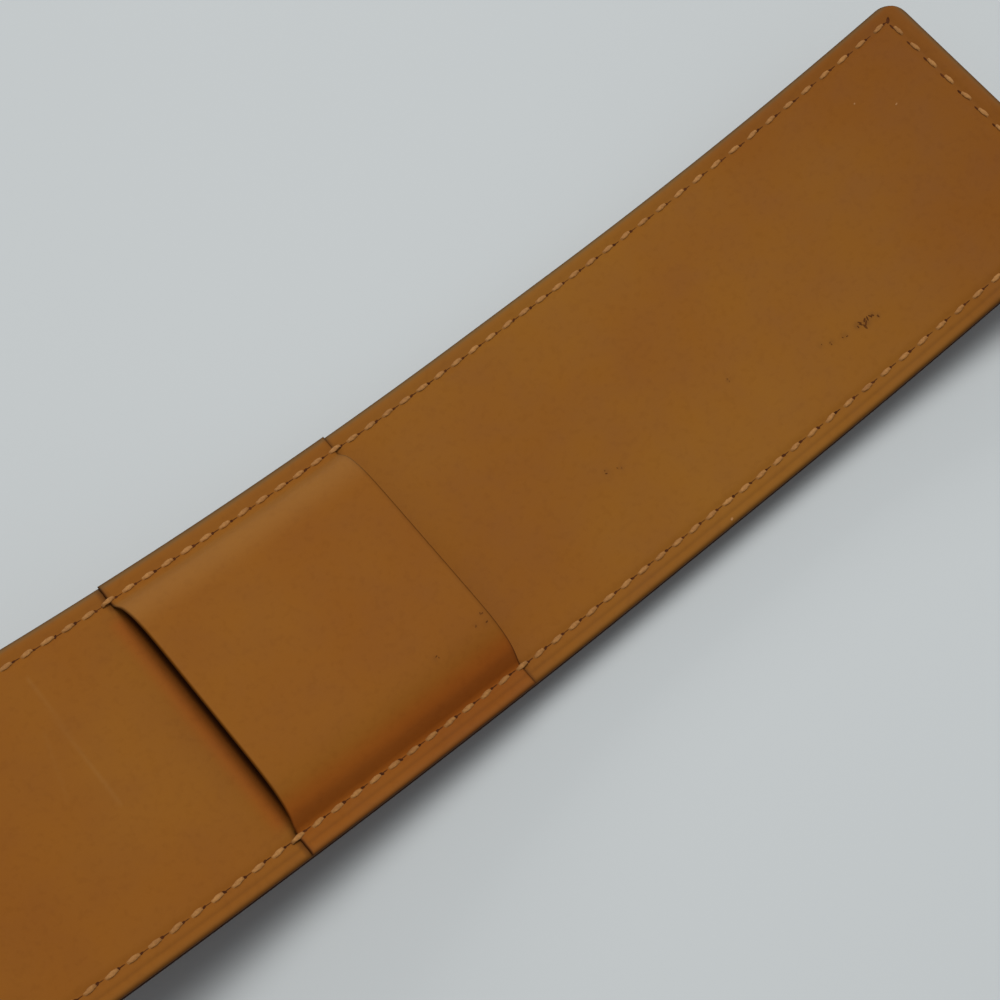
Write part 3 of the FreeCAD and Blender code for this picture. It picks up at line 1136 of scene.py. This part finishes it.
def lip_rings():
    """Rows of the straight lip of the back, and of its round end in the spine's fold."""
    distances = np.linspace(-LIP_LENGTH, 0.0, LIP_ROWS)
    straight = [(in_lip(distance, PLY_Y, PLY_OFFSET), PLY_SHADE) for distance in distances]
    return straight + knuckle_rings(in_lip, hollow=False)[1:]


# Pieces of the flap
def rings_object(name, rings, material):
    """A piece from its rows, closed by copies of its end rows so that a cut end stays crisp."""
    ring = len(FLAP_ACROSS)
    faces = side_faces(len(rings), ring) + cap_faces(len(rings), len(rings) + 1, ring)
    rings = rings + [rings[0], rings[-1]]
    points = np.concatenate([places for places, _ in rings])
    attributes = {key: np.full(len(points), value) for key, value in NO_MARKS.items()}
    attributes["shade"] = np.concatenate([shade for _, shade in rings])
    return make_object(name, points, faces, material, attributes)


def dress(node):
    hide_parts(node)


def bend_over(piece, fold):
    """Bake the piece's transform into its mesh. The ends of a bend about the fold at this distance are worked
    out but not used, so the piece neither bends nor rides a body.
    """
    start, end = (tuple(on_path(fold + reach, 0.0, 0.0) * MM) for reach in (-BLEND_REACH, BLEND_REACH))
    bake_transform(piece)


def lining_piece(name, start, stop, body, node):
    rings = strip_rings(start, stop, LINING_PLY, -(PLY + LINING_PLY) / 2, -1)
    piece = rings_object(name, rings, lining_leather)
    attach(piece, body)
    dress(node)


lip = rings_object("mouth_lip_leather", lip_rings(), tan_leather)
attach(lip, "pouch")

spine_rings = knuckle_rings(on_path, hollow=True) + strip_rings(SPINE_START, SPINE_CUT)
spine = rings_object("spine_leather", spine_rings, tan_leather)
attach(spine, "spine")
dress("spine_strip")

flap = rings_object("flap_leather", strip_rings(SPINE_CUT, FLAP_CUT), tan_leather)
bend_over(flap, AT_FLAP)
dress("flap_panel")

tongue = rings_object("tongue_leather", strip_rings(FLAP_CUT, AT_TIP), tan_leather)
bend_over(tongue, AT_TONGUE)
dress("tongue_panel")

flap_lining_start = AT_FLAP + LINING_SETBACK + FOLD_GAP
lining_piece("flap_lining_leather", flap_lining_start, AT_TONGUE - LINING_SETBACK, "flap", "flap_lining")
lining_piece("tongue_lining_leather", AT_TONGUE + LINING_SETBACK, AT_TIP, "tongue", "tongue_lining")


# Sewing of the flap
def flap_frame(distance, y, face, crosswise=False):
    surface = PLY / 2 - TRENCH_DEPTH if face > 0 else -PLY / 2 - LINING_PLY + TRENCH_DEPTH
    turn = float(np.interp(distance, DISTANCES, HEADINGS))
    return stitch_frame(on_path(distance, y, surface), turn, face, crosswise)


def flap_seam(start, stop):
    side = FLOOR_HALF - FLAP_SEAM_MARGIN
    ways = [(distance, y) for distance in even_steps(start, stop) for y in (-side, side)]
    return [flap_frame(distance, y, face) for distance, y in ways for face in (1, -1)]


def tip_seam():
    reach = FLOOR_HALF - TONGUE_CORNER
    distance = AT_TIP - FLAP_SEAM_MARGIN
    return [flap_frame(distance, y, face, True) for y in even_steps(-reach, reach) for face in (1, -1)]


flap_frames = flap_seam(AT_FLAP + FOLD_SEAM_MARGIN + FOLD_GAP, AT_TONGUE - FOLD_SEAM_MARGIN)
tongue_frames = flap_seam(AT_TONGUE + FOLD_SEAM_MARGIN, AT_TIP - TONGUE_CORNER)
stitches("flap_stitches", flap_frames, "flap", "flap_thread")
stitches("tongue_stitches", tongue_frames + tip_seam(), "tongue", "tongue_thread")

# Table, light and camera, in metres and watts
TABLE_REACH = 6.0
LIGHT_COLOUR = (1.0, 0.99, 0.97)
SKY_COLOUR = (0.93, 0.96, 1.0, 1.0)
SKY_STRENGTH = 0.30


def add_table():
    corners = [(-1, -1, 0), (1, -1, 0), (1, 1, 0), (-1, 1, 0)]
    floor = make_object("table", np.array(corners) * TABLE_REACH / MM, [(0, 1, 2, 3)], table_material())


def add_light(name, place_at, size, power):
    """An area light that faces the origin."""
    lamp = bpy.data.lights.new(name, "AREA")
    lamp.shape = "RECTANGLE"
    lamp.size, lamp.size_y = size
    lamp.energy = power
    lamp.color = LIGHT_COLOUR
    obj = bpy.data.objects.new(name, lamp)
    obj.location = place_at
    obj.rotation_euler = (-Vector(place_at)).to_track_quat("-Z", "Y").to_euler()
    bpy.context.scene.collection.objects.link(obj)


def add_sky():
    world = bpy.data.worlds.new("studio")
    world.use_nodes = True
    background = world.node_tree.nodes["Background"]
    background.inputs["Color"].default_value = SKY_COLOUR
    background.inputs["Strength"].default_value = SKY_STRENGTH
    bpy.context.scene.world = world


def add_camera():
    """The camera that fits the case's edges in the photo."""
    eye = Vector((-75.53, -54.78, 222.82)) * MM
    ahead = Vector((0.25421, 0.23896, -0.93716))
    up = Vector((0.59351, 0.72654, 0.34624))
    right = ahead.cross(up)
    data = bpy.data.cameras.new("camera")
    data.sensor_width = 36.0
    data.lens = 68.4
    data.clip_start = 0.005
    camera = bpy.data.objects.new("camera", data)
    turn = Matrix((right, up, -ahead)).transposed()
    camera.matrix_world = Matrix.Translation(eye) @ turn.to_4x4()
    bpy.context.scene.collection.objects.link(camera)
    bpy.context.scene.camera = camera


add_table()
add_light("window", place_at=(0.34, 0.43, 1.99), size=(0.9, 0.9), power=32.3)
add_light("far_fill", place_at=(0.2, 3.0, 1.6), size=(3.0, 1.2), power=22.0)
add_sky()
bpy.context.scene.view_settings.view_transform = "Standard"
add_camera()
